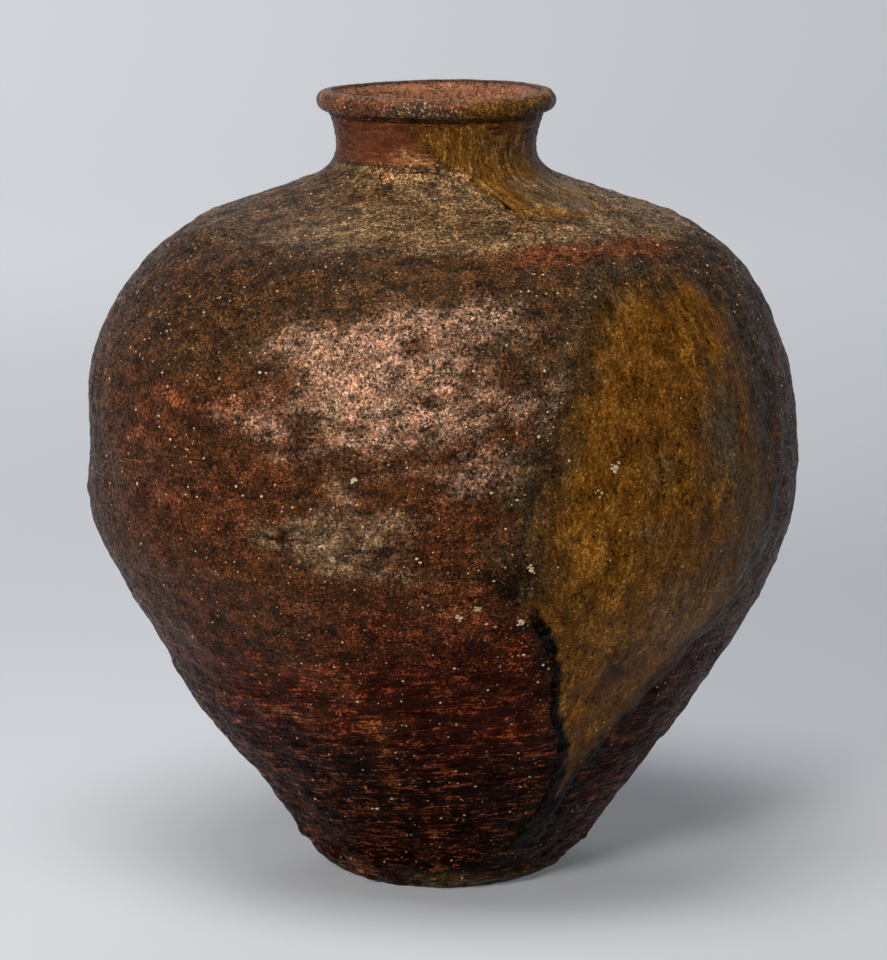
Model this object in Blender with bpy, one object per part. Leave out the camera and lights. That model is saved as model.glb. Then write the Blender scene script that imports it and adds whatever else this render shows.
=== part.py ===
"""A coil-built stoneware storage jar with a natural ash glaze, 470 mm tall.

The potter laid a flat slab, built the wall on it in stages of thick coils, and let each stage
stiffen before the next one was scarfed onto it. The neck was drawn up last, and its edge was
folded out into a roll. Each stage is turned here as a ring about the jar's axis, and then shaped
by hand: pushed, leaned and dented, as the wet clay was. Two skins of glaze lie on the clay.

Metres, +Z up. The jar's front faces -Y. A bearing is an angle round the jar in degrees, 0 at the
front and positive towards +X.
"""

from bisect import bisect_right
from math import atan2, ceil, cos, exp, hypot, pi, radians, sin, sqrt

import bmesh
import bpy
from mathutils import Vector

# Driving dimensions
HEIGHT = 0.470
FOOT_RADIUS = 0.060
HEEL_RADIUS = 0.082
BELLY_RADIUS = 0.2105
NECK_RADIUS = 0.0593
SLAB = 0.0175

# The outside of the wall, turned: height, radius
OUTLINE = (
    (SLAB, HEEL_RADIUS),
    (0.060, 0.1135),
    (0.110, 0.1512),
    (0.130, 0.1632),
    (0.155, 0.1783),
    (0.180, 0.1932),
    (0.205, 0.2045),
    (0.240, BELLY_RADIUS),
    (0.285, 0.2100),
    (0.305, 0.2082),
    (0.325, 0.2022),
    (0.357, 0.1850),
    (0.371, 0.1733),
    (0.384, 0.1580),
    (0.394, 0.1410),
    (0.401, 0.1218),
    (0.413, 0.0870),
    (0.420, 0.0705),
    (0.428, 0.0617),
    (0.437, NECK_RADIUS),
    (0.447, 0.0607),
    (0.460, 0.0648),
)

# The wall's thickness, square to its face: height, thickness
THICKNESS = (
    (SLAB, 0.0140),
    (0.060, 0.0120),
    (0.200, 0.0105),
    (0.400, 0.0110),
    (0.430, 0.0095),
    (0.460, 0.0090),
)

# The stages of the wall from the slab up: name, and the height at which the next stage begins
STAGES = (
    ("foot_wall", 0.112),
    ("lower_wall", 0.204),
    ("belly_wall", 0.310),
    ("upper_wall", 0.390),
    ("shoulder_wall", 0.4262),
    ("neck_wall", 0.4550),
)
SCARF = 0.008
JOINT_GAP = 0.00045
SEAT_GAP = 0.0003
HEEL_FILLET = 0.018
# The slab's edge rises from the foot to the heel as this power of the way out
HEEL_CURVE = 1.4

# The folded roll of the rim: an ellipse in section, standing on the neck, from its underside to its inner edge
ROLL_HALF_HEIGHT = 0.0073
ROLL_HALF_WIDTH = 0.0055
ROLL_RADIUS = 0.0653
ROLL_HEIGHT = HEIGHT - ROLL_HALF_HEIGHT
ROLL_INNER_LIP = 0.0600
ROLL_FROM = -80
ROLL_TO = 100

# How the hands moved the turned form. How far the axis leans towards +X: height, shift
LEAN = (
    (0.000, 0.0010),
    (0.060, 0.0033),
    (0.105, 0.0006),
    (0.150, 0.0038),
    (0.180, 0.0031),
    (0.212, 0.0005),
    (0.255, 0.0019),
    (0.305, -0.0011),
    (0.357, 0.0006),
    (0.372, 0.0008),
    (0.394, -0.0014),
    (0.409, 0.0005),
    (0.423, -0.0030),
    (HEIGHT, -0.0026),
)
# How much the joints wander up and down round the jar: height, share of the full wander
WANDER = ((0.025, 0.0), (0.090, 1.0), (0.220, 1.0), (0.393, 0.25), (0.425, 0.0))
WANDER_ONCE = 0.005
WANDER_TWICE = 0.004
WANDER_PHASE = 0.3
# Hollows and swellings: bearing, height, push along the wall's normal, half width, half height
DENTS = (
    (-15, 0.262, -0.0040, 0.034, 0.024),
    (-22, 0.222, -0.0030, 0.040, 0.016),
    (3, 0.315, -0.0030, 0.045, 0.022),
    (11, 0.292, 0.0025, 0.022, 0.030),
    (-52, 0.186, -0.0022, 0.050, 0.020),
    (48, 0.150, -0.0030, 0.050, 0.028),
    (34, 0.345, 0.0022, 0.060, 0.024),
    (-70, 0.330, -0.0025, 0.060, 0.030),
    (118, 0.235, -0.0045, 0.055, 0.040),
    (150, 0.300, 0.0035, 0.050, 0.035),
    (178, 0.180, -0.0040, 0.060, 0.030),
    (-132, 0.270, -0.0045, 0.060, 0.040),
    (-155, 0.345, 0.0030, 0.060, 0.025),
    (-105, 0.140, 0.0030, 0.050, 0.030),
)
# Flats round the slab's edge, where it was lifted off the board: bearing, push, half width; and their half height
HEEL_FLATS = ((48, -0.0030, 0.026), (-58, -0.0035, 0.024), (140, -0.0030, 0.030), (-140, 0.0020, 0.025))
HEEL_FLAT_HEIGHT = 0.035
RIM_WAVE = 0.0006

# The glaze's edges on the wall: height, bearing
SHEET_LEFT = (
    (0.026, 22), (0.044, 26), (0.0615, 28.7), (0.0815, 28.4), (0.095, 27), (0.115, 22.5), (0.1375, 20), (0.160, 17.7),
    (0.173, 14.7), (0.196, 12.2), (0.240, 12.3), (0.266, 14), (0.2805, 16.5), (0.299, 18), (0.313, 20.5),
    (0.3405, 23.5), (0.360, 27), (0.3735, 34),
)
SHEET_RIGHT = (
    (0.026, 38), (0.044, 36.5), (0.0575, 36.7), (0.086, 40), (0.109, 45.3), (0.128, 49.7), (0.162, 56.2),
    (0.200, 64.6), (0.2135, 66), (0.249, 66.5), (0.2935, 62.5), (0.324, 61.5), (0.353, 60), (0.3735, 50),
)
COLLAR_LEFT = (
    (0.4005, 33), (0.4012, 29), (0.4042, 26), (0.4080, 23.5), (0.4150, 22), (0.4210, 18.5), (0.4262, 14.5),
    (0.4310, 6.5), (0.4365, -3.5), (0.4405, -7), (0.4455, -10), (0.4545, -12),
)
COLLAR_RIGHT = (
    (0.4005, 38), (0.4015, 44), (0.4035, 52), (0.4060, 60), (0.4100, 68), (0.4160, 76), (0.4250, 84), (0.4350, 90),
    (0.4545, 96),
)
GLAZE_CLEAR = 0.0004
GLAZE_THIN = 0.0009
GLAZE_THICK = 0.0024
GLAZE_ROW_CLEAR = 0.002

# How finely the form is cut into faces
COLUMNS = 60
ROW_OUTSIDE = 0.015
ROW_FINE = 0.006
FINE_ABOVE = 0.390
ROW_INSIDE = 0.026
ROLL_STEPS = 9
WALK_STEPS = 60
SHARP_ANGLE = 40

# Surface of each node: base colour, roughness
FINISHES = {
    "base_disc": ((0.060, 0.026, 0.014), 0.75),
    "foot_wall": ((0.070, 0.024, 0.012), 0.60),
    "lower_wall": ((0.110, 0.036, 0.018), 0.55),
    "belly_wall": ((0.150, 0.062, 0.036), 0.50),
    "upper_wall": ((0.110, 0.066, 0.042), 0.50),
    "shoulder_wall": ((0.120, 0.082, 0.052), 0.55),
    "neck_wall": ((0.210, 0.080, 0.045), 0.55),
    "rim_roll": ((0.230, 0.110, 0.066), 0.50),
    "glaze_sheet": ((0.180, 0.100, 0.022), 0.22),
    "glaze_collar": ((0.220, 0.120, 0.030), 0.25),
}


def along_curve(points, at):
    """The value at one place on a smooth curve through (place, value) points, which never overshoots them."""
    i = min(max(bisect_right([place for place, _ in points], at) - 1, 0), len(points) - 2)
    (start, low), (end, high) = points[i], points[i + 1]
    span = end - start
    t = min(max((at - start) / span, 0.0), 1.0)
    leave, arrive = steepness(points, i) * span, steepness(points, i + 1) * span
    bend = 3 * (high - low) - 2 * leave - arrive
    return low + t * leave + t * t * bend + t ** 3 * (2 * (low - high) + leave + arrive)


def steepness(points, i):
    """The curve's slope where it passes its point i: flat at a peak, and a weighted mean elsewhere."""
    if i in (0, len(points) - 1):
        i = min(max(i, 1), len(points) - 1)
        return (points[i][1] - points[i - 1][1]) / (points[i][0] - points[i - 1][0])
    before, here, after = points[i - 1], points[i], points[i + 1]
    down = (here[1] - before[1]) / (here[0] - before[0])
    up = (after[1] - here[1]) / (after[0] - here[0])
    if down * up <= 0:
        return 0.0
    share = (after[0] - here[0]) / (after[0] - before[0])
    return down * share + up * (1 - share)


def outer_radius(height):
    return along_curve(OUTLINE, height)


def outward(height):
    """The turned wall's outward normal at a height, as (away from the axis, up)."""
    step = 0.0005
    if not OUTLINE[0][0] + step < height < OUTLINE[-1][0] - step:
        return 1.0, 0.0
    slope = (outer_radius(height + step) - outer_radius(height - step)) / (2 * step)
    length = sqrt(1 + slope * slope)
    return 1 / length, -slope / length


def wall_point(level, depth):
    """(radius, height) of the point that lies depth inside the turned wall's outer face at a level."""
    out, up = outward(level)
    return outer_radius(level) - depth * out, level - depth * up


def wander(bearing, height):
    """How far the hands carried the clay up the wall here, in metres."""
    swing = WANDER_ONCE * sin(bearing + WANDER_PHASE) + WANDER_TWICE * sin(2 * bearing + WANDER_PHASE)
    return swing * along_curve(WANDER, height)


def bump(distance, reach):
    return exp(-((distance / reach) ** 2))


def turned_between(bearing, other):
    """The angle from one bearing to another, in radians, the short way round."""
    return (bearing - other + pi) % (2 * pi) - pi


def pushes(bearing, radius, height):
    """How far all the dents together push the wall out here."""
    total = 0.0
    for place, level, push, across, upright in DENTS:
        aside = turned_between(bearing, radians(place)) * radius
        total += push * bump(aside, across) * bump(height - level, upright)
    for place, push, across in HEEL_FLATS:
        aside = turned_between(bearing, radians(place)) * radius
        total += push * bump(aside, across) * bump(height, HEEL_FLAT_HEIGHT) * min(1.0, radius / FOOT_RADIUS)
    return total


def hand_shape(point):
    """Moves a point of the turned form to where the hands left it."""
    bearing = atan2(point.x, -point.y)
    radius, height = hypot(point.x, point.y), point.z
    climb = wander(bearing, height)
    radius += outer_radius(height + climb) - outer_radius(height)
    height += climb
    push = pushes(bearing, radius, height)
    out, up = outward(height)
    radius += push * out
    height += push * up
    if height > ROLL_HEIGHT:
        height -= RIM_WAVE * (1 + sin(2 * bearing)) * (height - ROLL_HEIGHT) / ROLL_HALF_HEIGHT
    return Vector((radius * sin(bearing) + along_curve(LEAN, height), -radius * cos(bearing), height))


def rows(start, end, step):
    """Levels from start to end, evenly spread along the wall and about a step apart."""
    levels = [start + (end - start) * i / WALK_STEPS for i in range(WALK_STEPS + 1)]
    walked = [0.0]
    for low, high in zip(levels, levels[1:]):
        walked.append(walked[-1] + hypot(high - low, outer_radius(high) - outer_radius(low)))
    count = max(3, ceil(walked[-1] / step))
    lookup = tuple(zip(walked, levels))
    return [along_curve(lookup, walked[-1] * i / count) for i in range(count + 1)]


def at_joint(level, side):
    """Where a stage ends at a joint, as levels of its outer and inner edges; side is 1 above the joint, -1 below."""
    along = outward(level)[0]
    edge = level + side * along * JOINT_GAP / 2
    return edge, edge + along * SCARF


def outer_rows():
    """The levels of every stage's rows on the outer face, from the slab up: name, levels."""
    start = SLAB
    for name, joint in STAGES:
        yield name, rows(start, at_joint(joint, -1)[0], ROW_FINE if start > FINE_ABOVE else ROW_OUTSIDE)
        start = at_joint(joint, 1)[0]


def stage_section(levels, inner_start, inner_end):
    """The closed section of one stage: up its outer face, over the scarf, and down its inner face."""
    section = [wall_point(level, 0.0) for level in levels]
    for level in reversed(rows(inner_start, inner_end, ROW_INSIDE)):
        section.append(wall_point(level, along_curve(THICKNESS, level)))
    return section


def lathe(name, section, closed=True):
    """Turns a section of (radius, height) points about the jar's axis, then shapes it by hand."""
    mesh = bpy.data.meshes.new(name)
    bm = bmesh.new()
    line = [bm.verts.new((0.0, -radius, height)) for radius, height in section]
    pairs = list(zip(line, line[1:] + line[:1] if closed else line[1:]))
    edges = [bm.edges.new(pair) for pair in pairs]
    bmesh.ops.spin(
        bm, geom=line + edges, cent=(0, 0, 0), axis=(0, 0, 1), angle=2 * pi, steps=COLUMNS, use_merge=True
    )
    bmesh.ops.remove_doubles(bm, verts=bm.verts, dist=1e-6)
    for vert in bm.verts:
        vert.co = hand_shape(vert.co)
    bmesh.ops.recalc_face_normals(bm, faces=bm.faces)
    bm.to_mesh(mesh)
    bm.free()
    return finished(name, mesh)


def finished(name, mesh):
    """Adds the object that shows a mesh, shaded smooth, with its own material."""
    colour, roughness = FINISHES[name]
    material = bpy.data.materials.new(name)
    material.use_nodes = True
    shader = material.node_tree.nodes["Principled BSDF"]
    shader.inputs["Base Color"].default_value = (*colour, 1.0)
    shader.inputs["Roughness"].default_value = roughness
    shader.inputs["Metallic"].default_value = 0.0
    mesh.materials.append(material)
    mesh.shade_smooth()
    mesh.set_sharp_from_angle(angle=radians(SHARP_ANGLE))
    obj = bpy.data.objects.new(name, mesh)
    bpy.context.scene.collection.objects.link(obj)
    return obj


def make_base_disc():
    """The slab: a disc with a flat underside, cut in below the heel where it was trimmed."""
    section = [(0.0, 0.0)]
    for share in (0, 1 / 3, 2 / 3):
        section.append((FOOT_RADIUS + (HEEL_RADIUS - FOOT_RADIUS) * share, SLAB * share ** HEEL_CURVE))
    section += [(HEEL_RADIUS, SLAB - SEAT_GAP), (HEEL_RADIUS / 2, SLAB - SEAT_GAP), (0.0, SLAB - SEAT_GAP)]
    return lathe("base_disc", section, closed=False)


def make_stages():
    """The stages of the wall. The lowest stands flat on the slab, and widens inside into a fillet."""
    inner_start = SLAB + HEEL_FILLET / 2
    for (name, joint), (_, levels) in zip(STAGES, outer_rows()):
        section = stage_section(levels, inner_start, at_joint(joint, -1)[1])
        if levels[0] == SLAB:
            section.append((HEEL_RADIUS - HEEL_FILLET, SLAB))
        lathe(name, section)
        inner_start = at_joint(joint, 1)[1]


def make_rim_roll():
    """The neck's edge, folded out and down into a roll, seated on the neck by the same scarf."""
    seat, inner_seat = at_joint(STAGES[-1][1], 1)
    outer, inner = wall_point(seat, 0.0), wall_point(inner_seat, along_curve(THICKNESS, inner_seat))
    first, last = radians(ROLL_FROM), radians(ROLL_TO)
    section = [outer]
    for i in range(ROLL_STEPS):
        turn = first + (last - first) * i / (ROLL_STEPS - 1)
        section.append((ROLL_RADIUS + ROLL_HALF_WIDTH * cos(turn), ROLL_HEIGHT + ROLL_HALF_HEIGHT * sin(turn)))
    section += [(ROLL_INNER_LIP, HEIGHT - ROLL_HALF_HEIGHT / 2), inner]
    return lathe("rim_roll", section)


def glaze_levels(start, end):
    """The wall's own rows between two levels, so that the skin follows the wall's faces."""
    inside = [level for _, levels in outer_rows() for level in levels[1:]]
    return [start] + [level for level in inside if start + GLAZE_ROW_CLEAR < level < end - GLAZE_ROW_CLEAR] + [end]


def glaze_bearings(first, last):
    """The wall's own columns between two edges, and the edges themselves."""
    column = 2 * pi / COLUMNS
    inside = [column * i for i in range(-COLUMNS, COLUMNS + 1)]
    return [first] + [bearing for bearing in inside if first + column / 4 < bearing < last - column / 4] + [last]


def fill_between(bm, lower, upper):
    """Faces between two rows of (bearing, vert), stepping each time to whichever vert comes next round the jar."""
    i, j = 0, 0
    while i + j < len(lower) + len(upper) - 2:
        if j == len(upper) - 1 or (i < len(lower) - 1 and lower[i + 1][0] <= upper[j + 1][0]):
            bm.faces.new((lower[i][1], lower[i + 1][1], upper[j][1]))
            i += 1
        else:
            bm.faces.new((lower[i][1], upper[j + 1][1], upper[j][1]))
            j += 1


def make_glaze(name, left, right, pools_below):
    """A skin of glass on the wall between two edges. Low down it is thickest along its edges, where it ran."""
    mesh = bpy.data.meshes.new(name)
    bm = bmesh.new()
    weight = bm.verts.layers.deform.verify()
    grid = []
    for level in glaze_levels(left[0][0], left[-1][0]):
        first, last = radians(along_curve(left, level)), radians(along_curve(right, level))
        radius, height = wall_point(level, -GLAZE_CLEAR)
        line = []
        for bearing in glaze_bearings(first, last):
            vert = bm.verts.new(hand_shape(Vector((radius * sin(bearing), -radius * cos(bearing), height))))
            across = (bearing - first) / (last - first)
            vert[weight][0] = abs(2 * across - 1) ** 3 if level < pools_below else 0.0
            line.append((bearing, vert))
        grid.append(line)
    for lower, upper in zip(grid, grid[1:]):
        fill_between(bm, lower, upper)
    bm.to_mesh(mesh)
    bm.free()
    obj = finished(name, mesh)
    obj.vertex_groups.new(name="pooled")
    skin = obj.modifiers.new("skin", "SOLIDIFY")
    skin.thickness = GLAZE_THICK
    skin.offset = 1.0
    skin.vertex_group = "pooled"
    skin.thickness_vertex_group = GLAZE_THIN / GLAZE_THICK
    return obj


def main():
    for obj in list(bpy.data.objects):
        bpy.data.objects.remove(obj)
    make_base_disc()
    make_stages()
    make_rim_roll()
    make_glaze("glaze_sheet", SHEET_LEFT, SHEET_RIGHT, pools_below=0.22)
    make_glaze("glaze_collar", COLLAR_LEFT, COLLAR_RIGHT, pools_below=0.42)


main()
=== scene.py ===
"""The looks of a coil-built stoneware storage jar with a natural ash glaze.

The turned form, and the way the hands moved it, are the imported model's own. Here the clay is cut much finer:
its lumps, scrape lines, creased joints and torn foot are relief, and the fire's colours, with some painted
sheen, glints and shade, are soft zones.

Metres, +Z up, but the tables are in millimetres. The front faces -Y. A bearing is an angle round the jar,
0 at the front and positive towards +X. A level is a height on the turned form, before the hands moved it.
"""

from math import cos, degrees, pi, radians, sin

import bmesh
import bpy
import numpy as np
from mathutils import Euler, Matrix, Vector


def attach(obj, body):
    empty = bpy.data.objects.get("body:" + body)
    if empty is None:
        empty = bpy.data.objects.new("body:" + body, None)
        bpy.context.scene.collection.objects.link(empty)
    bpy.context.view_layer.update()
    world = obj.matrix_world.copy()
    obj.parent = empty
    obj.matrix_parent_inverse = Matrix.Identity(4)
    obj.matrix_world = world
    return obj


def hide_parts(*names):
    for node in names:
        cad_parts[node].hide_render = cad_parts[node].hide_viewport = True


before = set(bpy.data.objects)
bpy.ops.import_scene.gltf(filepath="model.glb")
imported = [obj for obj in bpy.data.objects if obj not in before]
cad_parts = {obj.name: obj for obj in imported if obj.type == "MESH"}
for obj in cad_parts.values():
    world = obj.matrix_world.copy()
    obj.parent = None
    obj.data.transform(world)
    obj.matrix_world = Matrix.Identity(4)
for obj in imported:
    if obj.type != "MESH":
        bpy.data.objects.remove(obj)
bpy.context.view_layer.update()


def table(kinds, *rows):
    """Rows of values. In kinds, m is for millimetres, which become metres, d for degrees, n for the rest."""
    return tuple(tuple(v / 1000 if kind == "m" else v for v, kind in zip(row, kinds)) for row in rows)


# The turned form, as the model has it. Its outline and its thickness begin at the top of the slab
HEIGHT = 0.47
FOOT_RADIUS = 0.06
HEEL_RADIUS = 0.082
SLAB = 0.0175
OUTLINE = table(
    "mm",
    (17.5, 82), (60, 113.5), (110, 151.2), (130, 163.2), (155, 178.3), (180, 193.2), (205, 204.5),
    (240, 210.5), (285, 210), (305, 208.2), (325, 202.2), (357, 185), (371, 173.3), (384, 158), (394, 141),
    (401, 121.8), (413, 87), (420, 70.5), (428, 61.7), (437, 59.3), (447, 60.7), (460, 64.8),
)
THICKNESS = table("mm", (17.5, 14), (60, 12), (200, 10.5), (400, 11), (430, 9.5), (460, 9))
ROLL_HALF_HEIGHT = 0.0073
ROLL_HALF_WIDTH = 0.0055
ROLL_RADIUS = 0.0653
ROLL_HEIGHT = HEIGHT - ROLL_HALF_HEIGHT
LIP_HALF_HEIGHT = 0.0062
MOUTH_EDGE = table(
    "mm",
    (63.8, 470), (62.4, 469.9), (61.4, 469.3), (60.4, 468.1), (59, 466.5), (57.4, 464.8), (55.7, 463.2),
)

# The stages of the wall: name, slot, clay, the height at which the next begins, and the depth of that crease
STAGES = table(
    "nnnmm",
    ("foot_wall", "red_brown_clay", "trodden_clay", 112, 0.4),
    ("lower_wall", "red_brown_clay", "scraped_clay", 204, 0.5),
    ("belly_wall", "copper_brown_clay", "gritty_clay", 310, 0.4),
    ("upper_wall", "ash_brown_clay", "gritty_clay", 390, 0.6),
    ("shoulder_wall", "ash_brown_clay", "ashy_clay", 426.2, 0.5),
    ("neck_wall", "pink_brown_clay", "drawn_clay", 455, 0.3),
)
NECK_TOP = STAGES[-1][3]

# How much light each clay throws back, as the shader's specular level
CLAY_SHINES = {
    "trodden_clay": 0.05,
    "scraped_clay": 0.07,
    "gritty_clay": 0.085,
    "ashy_clay": 0.095,
    "drawn_clay": 0.22,
}

# How the hands moved the turned form
LEAN = table(
    "mm",
    (0, 1), (60, 3.3), (105, 0.6), (150, 3.8), (180, 3.1), (212, 0.5), (255, 1.9), (305, -1.1), (357, 0.6),
    (372, 0.8), (394, -1.4), (409, 0.5), (423, -3), (470, -2.6),
)
WANDER = table("mn", (25, 0), (90, 1), (220, 1), (393, 0.25), (425, 0))
WANDER_ONCE = 0.005
WANDER_TWICE = 0.004
WANDER_PHASE = 0.3
DENTS = table(
    "dmmmm",
    (-15, 262, -4, 34, 24), (-22, 222, -3, 40, 16), (3, 315, -3, 45, 22), (11, 292, 2.5, 22, 30),
    (-52, 186, -2.2, 50, 20), (48, 150, -3, 50, 28), (34, 345, 2.2, 60, 24), (-70, 330, -2.5, 60, 30),
    (118, 235, -4.5, 55, 40), (150, 300, 3.5, 50, 35), (178, 180, -4, 60, 30), (-132, 270, -4.5, 60, 40),
    (-155, 345, 3, 60, 25), (-105, 140, 3, 50, 30),
)
HEEL_FLATS = table("dmm", (48, -3, 26), (-58, -3.5, 24), (140, -3, 30), (-140, 2, 25))
HEEL_FLAT_HEIGHT = 0.035
HEEL_CURVE = 1.4
RIM_WAVE = 0.0006

# The glaze's edges on the wall: height, bearing
SHEET_LEFT = table(
    "md",
    (26, 22), (44, 26), (61.5, 28.7), (81.5, 28.4), (95, 27), (115, 22.5), (137.5, 20), (160, 17.7),
    (173, 14.7), (196, 12.2), (240, 12.3), (266, 14), (280.5, 16.5), (299, 18), (313, 20.5), (340.5, 23.5),
    (360, 27), (373.5, 34),
)
SHEET_RIGHT = table(
    "md",
    (26, 38), (44, 36.5), (57.5, 36.7), (86, 40), (109, 45.3), (128, 49.7), (162, 56.2), (200, 64.6),
    (213.5, 66), (249, 66.5), (293.5, 62.5), (324, 61.5), (353, 60), (373.5, 50),
)
COLLAR_LEFT = table(
    "md",
    (400.5, 33), (401.2, 29), (404.2, 26), (408, 23.5), (415, 22), (421, 18.5), (426.2, 14.5), (431, 6.5),
    (436.5, -3.5), (440.5, -7), (445.5, -10), (454.5, -12),
)
COLLAR_RIGHT = table(
    "md",
    (400.5, 38), (401.5, 44), (403.5, 52), (406, 60), (410, 68), (416, 76), (425, 84), (435, 90),
    (454.5, 96),
)

SHEET = (SHEET_LEFT, SHEET_RIGHT)
COLLAR = (COLLAR_LEFT, COLLAR_RIGHT)

# Where the glaze ran together into black lines: height, bearing, half width
RUN_LEFT = table(
    "mdm",
    (25.5, 27, 13), (36, 28.5, 13), (47, 29.5, 10), (66.5, 30, 6), (89, 29.5, 4.8), (102.5, 28, 4.2),
    (121.5, 23.5, 4), (144, 20.5, 4.2), (166, 18, 5.2), (178, 16.2, 5.4), (190, 15, 3),
)
COLLAR_LINE = table(
    "mdm",
    (401, 34, 0.4), (403, 28, 0.6), (406, 25, 0.7), (409.5, 23, 0.7), (415, 22, 0.4), (421, 18.5, 0.2),
    (426.2, 14.5, 0),
)
RUN_RIGHT = table(
    "mdm",
    (25.5, 30, 8), (36, 33, 6), (62.5, 35.5, 4), (94, 39, 2.8), (117, 44.5, 1.7), (136.5, 49, 1.3),
    (170, 55.5, 1), (207.5, 64, 0.4),
)

# Lips where one stage hangs over the one below: level, how far, middle bearing, spread
LIPS = table(
    "mmdd",
    (204, 1.8, -30, 26), (204, 0.6, 150, 60), (390, 0.9, 5, 50), (390, 0.6, -130, 60), (112, 0.6, -50, 30),
)

# The fire's colours, and a painted sheen: bearing, height, reach aside, reach up, strength
# The first table is a painted sheen, not a colour of the fire: the upper belly painted lighter and pinker
# where the key lamp's highlight falls
PAINTED_SHEEN = table(
    "dmmmn",
    (-21, 343, 40, 12, 0.5), (-8, 350, 40, 12, 0.6), (7, 358, 36, 12, 0.4), (-15, 328, 34, 18, 0.65),
    (-7, 322, 34, 20, 1), (5, 303, 38, 16, 0.42), (14, 313, 18, 10, 0.42), (-27, 304, 40, 14, 0.4),
    (2, 276, 30, 14, 0.35), (-17, 292, 36, 16, 0.42),
)
GREY = table(
    "dmmmn",
    (13, 338, 20, 14, 0.9), (12, 280, 16, 18, 0.7), (-3, 332, 22, 8, 0.5), (-16, 306, 16, 8, 0.6),
    (10, 232, 14, 20, 0.8), (-40, 340, 50, 22, 0.5), (66, 330, 30, 40, 0.8), (62, 130, 50, 60, 0.7),
    (82, 220, 30, 60, 0.6),
)
RED = table(
    "dmmmn",
    (-50, 292, 34, 18, 0.9), (-62, 262, 30, 30, 0.8), (-44, 240, 50, 24, 0.9), (-32, 268, 30, 18, 0.6),
    (-2, 232, 40, 22, 0.9), (6, 200, 30, 20, 0.8), (-6, 180, 60, 16, 0.7), (0, 255, 22, 12, 0.6),
    (6, 376, 22, 10, 0.5), (-14, 404, 60, 6, 0.7), (14, 398, 40, 6, 0.7), (-42, 396, 50, 8, 0.5),
)
ORANGE = table(
    "dmmmn",
    (-42, 309, 40, 7, 0.6), (-30, 311, 30, 6, 0.5), (-57, 283, 16, 12, 0.5), (-26, 196, 30, 4, 0.5),
    (-26, 150, 28, 8, 0.7), (-34, 124, 24, 6, 0.8), (-18, 136, 14, 10, 0.5), (2, 196, 16, 20, 0.6),
    (-14, 108, 12, 20, 0.5), (20, 120, 8, 20, 0.4), (-48, 11, 24, 6, 0.9),
)
BAND = table("dmmmn", (40, 389.5, 46, 4.5, 1), (22, 386, 30, 6, 0.8), (50, 386, 20, 5, 0.6))
PITTED = table(
    "dmmmn",
    (-25, 236, 26, 11, 0.9), (-14, 233, 30, 13, 0.9), (-17, 262, 14, 14, 0.6), (-9, 244, 20, 8, 0.5),
    (-12, 216, 36, 5, 0.7),
)

# Small folds that the hand pushed up or in: bearing, level, half length, half width, slant, height
FOLDS = table(
    "dmmmdm",
    (10, 313, 36, 6, 42, 2.6), (17, 337, 26, 12, 30, -2.2), (4, 291, 34, 5, 30, 1.8),
    (-8, 276, 40, 5, 6, -0.9), (-20, 247, 22, 3, 12, 1.6), (-25, 238, 16, 2.2, -8, -2),
    (-14, 224, 30, 2.8, 4, -2), (-16, 230, 26, 4, 2, 1.6), (-9, 246, 12, 1.8, 50, -2),
    (-48, 250, 30, 4, 8, 0.8), (26, 266, 18, 3, -60, -0.8), (130, 300, 50, 7, 15, 1.4),
    (-120, 330, 40, 6, -20, -1.4), (165, 230, 50, 5, 8, 1.2), (-90, 240, 40, 5, 10, 1.2),
)

# The sooty blots where the left run begins, and the grey glass on the rim
SOOT = table(
    "dmmmn",
    (12, 205, 14, 14, 1), (8, 214, 18, 5, 0.9), (14, 222, 10, 12, 0.8), (13, 190, 10, 12, 0.9),
    (20, 182, 6, 16, 0.6), (13, 243, 6, 8, 0.5), (3, 204, 14, 3, 0.5), (32, 154, 22, 20, 0.6),
    (22, 196, 10, 10, 0.3),
)
RIM_GLASS = table("dmmmn", (-22, 461.5, 12, 5, 0.8), (-8, 462.5, 12, 5, 0.6), (8, 460, 10, 3, 0.5))

# Where the glass is grey with ash, and where it is thick and clouded, with some painted light
GRIZZLED = table(
    "dmmmn",
    (50, 275, 18, 30, 0.8), (36, 262, 18, 10, 0.4), (33, 228, 14, 10, 0.3), (58, 225, 14, 26, 0.5),
    (40, 180, 20, 20, 0.5), (60, 320, 12, 30, 0.6),
)
# Clouded glass, and painted light: pale highlights on the tongue, and the neck's right side painted lighter
# where less light falls
MILKY_AND_PAINTED_LIGHT = table(
    "dmmmn",
    (30, 405.8, 7, 1.6, 0.9), (36, 408.5, 6, 1.4, 0.8), (24, 416, 6, 1, 0.8), (11, 428.5, 10, 1, 0.8),
    (17, 426.2, 10, 1, 0.8), (40, 429, 10, 1, 0.6), (48, 441, 26, 10, 0.8),
)

# The black line along the rim's underside, what ran down to the heel, and the painted glints at the neck's
# foot and on the heel
INK = table(
    "dmmmn",
    (-26, 457.8, 12, 1.4, 1), (-14, 457.2, 14, 1.6, 1), (4, 456.8, 18, 1, 0.7), (24, 23.5, 10, 3.5, 1),
    (17, 19.5, 9, 2, 0.9), (6, 16, 12, 1.4, 0.9), (-6, 13.5, 10, 1, 0.7),
)
GLINTS = table(
    "dmmmn",
    (-17, 434.5, 10, 5, 1), (-8, 432, 12, 3, 1), (-26, 431.5, 10, 2, 0.6), (-24, 423.5, 12, 1.6, 0.7),
    (-50, 13, 16, 3, 0.3),
)

# The largest pale stones: bearing, level, radius
BIG_STONES = table(
    "dmm",
    (27.5, 267, 3.4), (24.5, 253.5, 2.7), (28, 239, 2.2), (2.5, 187, 2), (12.5, 181, 2), (44, 270, 1.7),
    (41.5, 239.5, 1.6), (14, 214.5, 2), (5.5, 192.5, 1.8), (-17.5, 224, 1.7), (-19, 232.5, 1.5),
    (-14, 270, 1.4),
)

# Crumbs in each of them, and places tried for the small grains
CRUMBS = 14
GRAINS_TRIED = 4200

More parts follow.
